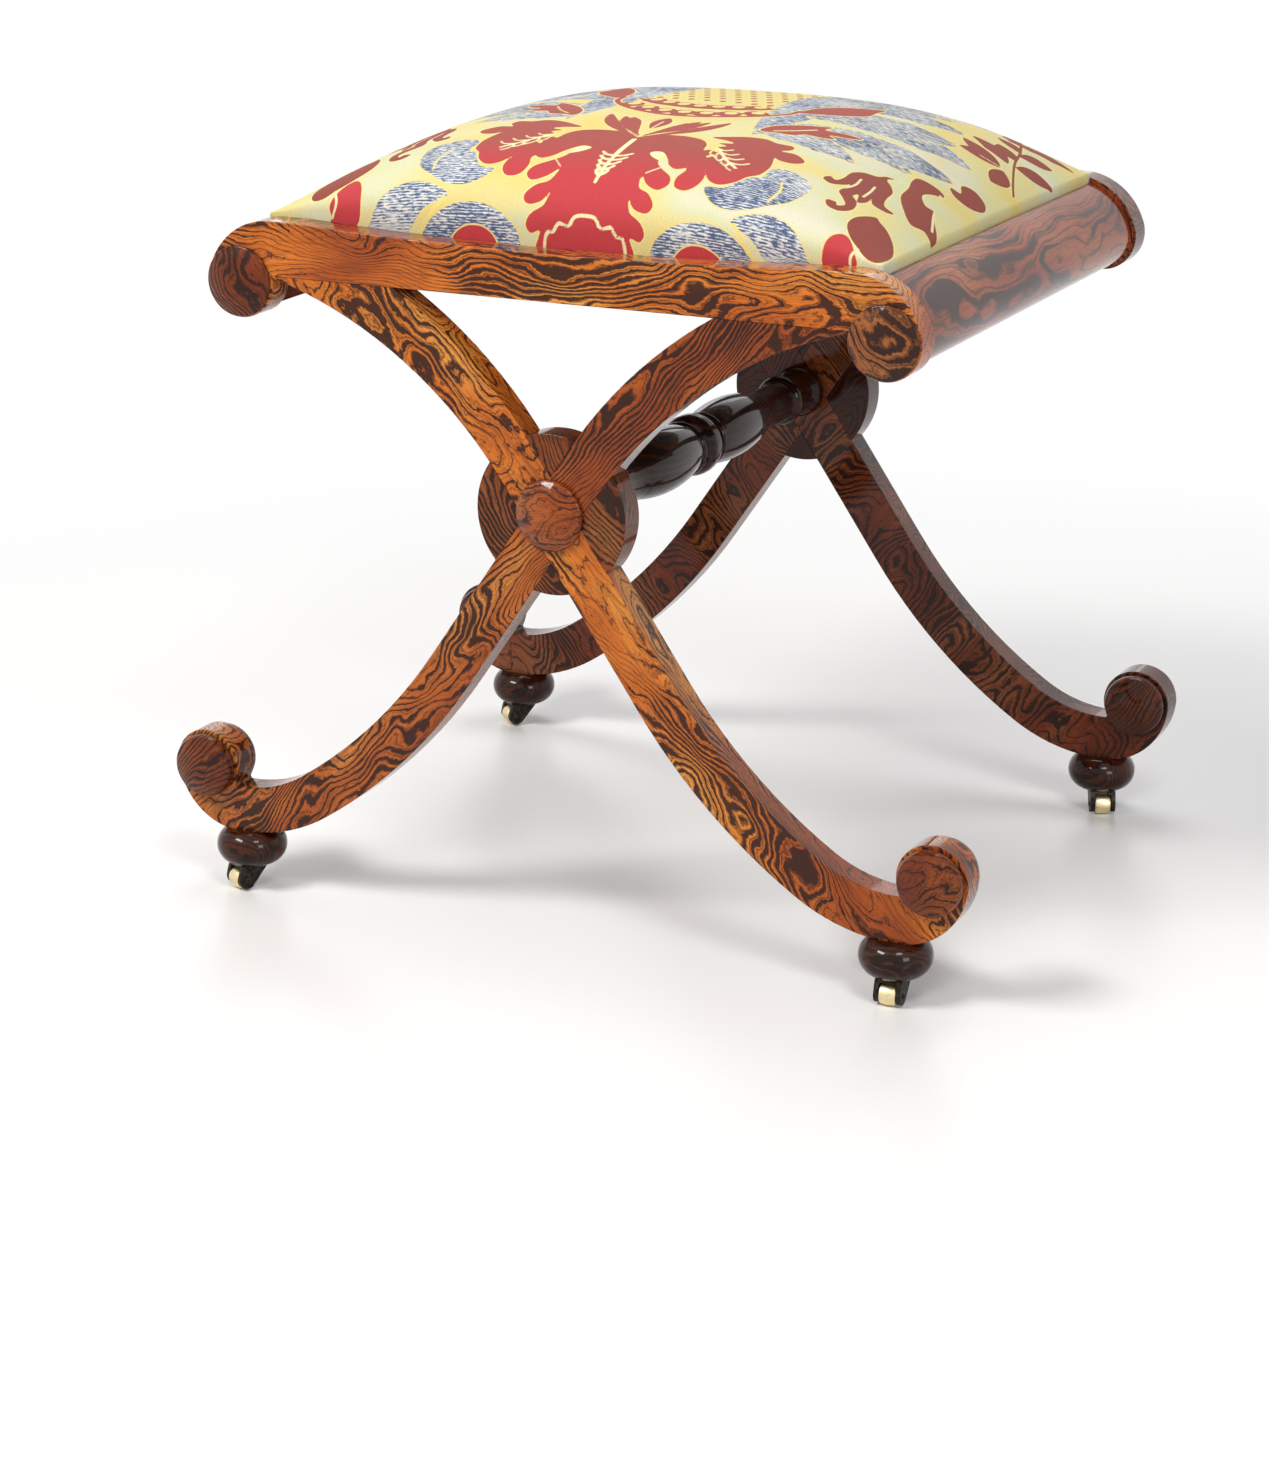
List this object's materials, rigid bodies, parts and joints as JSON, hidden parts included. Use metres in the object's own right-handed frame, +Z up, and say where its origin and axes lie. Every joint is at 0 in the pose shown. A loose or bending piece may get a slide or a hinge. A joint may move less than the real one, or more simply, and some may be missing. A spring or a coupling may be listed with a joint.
{
  "type": "x frame stool",
  "caption": "Drawing-room stool with crossed scroll legs, rolled rails, turned stretcher, bun feet on castors and a crowned drop-in seat.",
  "frame": {"origin": "on the floor under the middle of the seat", "axes": "+X along the front rail to the right as seen from the front, -Y towards the front, +Z up"},
  "size_m": [0.503, 0.3944, 0.4595],
  "materials": {
    "rosewood": "figured rosewood, french polished to a gloss",
    "dark_rosewood": "dark turned rosewood, glossy",
    "beech": "bare sawn and planed beech",
    "castor_iron": "blackened and worn smooth",
    "castor_brass": "pale worn brass",
    "steel": "dull blued steel",
    "webbing": "woven jute",
    "linen": "plain hessian",
    "stuffing": "firm curled hair under wadding",
    "damask": "woven floral, straw ground with crimson and blue-white flowers",
    "dust_cloth": "plain black cotton"
  },
  "bodies": {
    "frame": {"front_rail": "rosewood", "front_through_leg": "rosewood", "front_lapped_leg": "rosewood", "front_disc_segments": "rosewood", "front_centre_boss": "rosewood", "front_left_roundel": "rosewood", "front_left_outer_scroll_boss": "rosewood", "front_left_inner_scroll_boss": "rosewood", "front_right_roundel": "rosewood", "front_right_outer_scroll_boss": "rosewood", "front_right_inner_scroll_boss": "rosewood", "rear_rail": "rosewood", "rear_through_leg": "rosewood", "rear_lapped_leg": "rosewood", "rear_disc_segments": "rosewood", "rear_centre_boss": "rosewood", "rear_left_roundel": "rosewood", "rear_left_outer_scroll_boss": "rosewood", "rear_left_inner_scroll_boss": "rosewood", "rear_right_roundel": "rosewood", "rear_right_outer_scroll_boss": "rosewood", "rear_right_inner_scroll_boss": "rosewood", "left_end_rail": "rosewood", "right_end_rail": "rosewood", "stretcher": "rosewood", "front_left_bun_foot": "dark_rosewood", "front_right_bun_foot": "dark_rosewood", "rear_left_bun_foot": "dark_rosewood", "rear_right_bun_foot": "dark_rosewood", "castor_plates": "castor_iron", "castor_plate_screws": "castor_iron", "arm_dowels": "beech", "front_bearer": "beech", "rear_bearer": "beech", "left_bearer": "beech", "right_bearer": "beech", "bearer_screws": "steel"},
    "drop_in_seat": {"slip_front": "beech", "slip_rear": "beech", "slip_left": "beech", "slip_right": "beech", "seat_webbing": "webbing", "base_cloth": "linen", "stuffing": "stuffing", "cover": "damask", "dust_cloth": "dust_cloth", "seat_tacks": "steel"},
    "front_left_castor": {"front_left_castor_fork": "castor_iron", "front_left_castor_axle": "castor_iron"},
    "front_left_wheel": {"front_left_castor_wheel": "castor_brass"},
    "front_right_castor": {"front_right_castor_fork": "castor_iron", "front_right_castor_axle": "castor_iron"},
    "front_right_wheel": {"front_right_castor_wheel": "castor_brass"},
    "rear_left_castor": {"rear_left_castor_fork": "castor_iron", "rear_left_castor_axle": "castor_iron"},
    "rear_left_wheel": {"rear_left_castor_wheel": "castor_brass"},
    "rear_right_castor": {"rear_right_castor_fork": "castor_iron", "rear_right_castor_axle": "castor_iron"},
    "rear_right_wheel": {"rear_right_castor_wheel": "castor_brass"}
  },
  "joints": [
    {"name": "seat_lift", "type": "slide", "parent": "frame", "child": "drop_in_seat", "axis": [0, 0, 1], "range_m": [0, 0.12]},
    {"name": "front_left_swivel", "type": "hinge", "parent": "frame", "child": "front_left_castor", "pos_m": [-0.20723, -0.1762, 0.0155], "axis": [0, 0, 1], "continuous": true},
    {"name": "front_left_roll", "type": "hinge", "parent": "front_left_castor", "child": "front_left_wheel", "pos_m": [-0.21109, -0.18377, 0.0065], "axis": [-0.891, 0.454, 0], "continuous": true},
    {"name": "front_right_swivel", "type": "hinge", "parent": "frame", "child": "front_right_castor", "pos_m": [0.20723, -0.1762, 0.0155], "axis": [0, 0, 1], "continuous": true},
    {"name": "front_right_roll", "type": "hinge", "parent": "front_right_castor", "child": "front_right_wheel", "pos_m": [0.20753, -0.18469, 0.0065], "axis": [-0.9994, -0.0349, 0], "continuous": true},
    {"name": "rear_left_swivel", "type": "hinge", "parent": "frame", "child": "rear_left_castor", "pos_m": [-0.20723, 0.1762, 0.0155], "axis": [0, 0, 1], "continuous": true},
    {"name": "rear_left_roll", "type": "hinge", "parent": "rear_left_castor", "child": "rear_left_wheel", "pos_m": [-0.2127, 0.16969, 0.0065], "axis": [-0.766, 0.6428, 0], "continuous": true},
    {"name": "rear_right_swivel", "type": "hinge", "parent": "frame", "child": "rear_right_castor", "pos_m": [0.20723, 0.1762, 0.0155], "axis": [0, 0, 1], "continuous": true},
    {"name": "rear_right_roll", "type": "hinge", "parent": "rear_right_castor", "child": "rear_right_wheel", "pos_m": [0.21096, 0.16856, 0.0065], "axis": [-0.8988, -0.4384, 0], "continuous": true}
  ]
}
